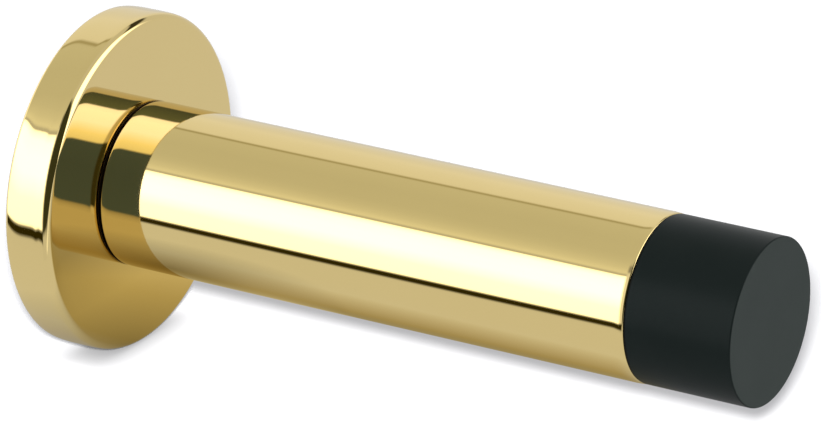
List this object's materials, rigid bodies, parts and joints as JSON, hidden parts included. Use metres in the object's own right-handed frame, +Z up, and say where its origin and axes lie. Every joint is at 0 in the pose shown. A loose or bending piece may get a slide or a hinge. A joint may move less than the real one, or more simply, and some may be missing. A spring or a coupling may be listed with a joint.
{
  "type": "wall mounted door stop",
  "caption": "Polished brass bar on a round hollow rose with hidden fixings, ending in a black rubber buffer that stops a door short of the wall.",
  "frame": {"origin": "centre of the rose's back, on the wall's surface", "axes": "-Y out of the wall along the bar, +Y into the wall, +Z up"},
  "size_m": [0.0388, 0.0856, 0.0388],
  "materials": {
    "polished_brass": "mirror polished and lacquered",
    "black_rubber": "smooth moulded side, matte end",
    "plated_steel": "bright zinc plate"
  },
  "bodies": {
    "root": {"rose_cover": "polished_brass", "stop_bar": "polished_brass", "buffer": "black_rubber", "fixing_plate": "plated_steel", "fixing_stud": "plated_steel"}
  },
  "joints": []
}
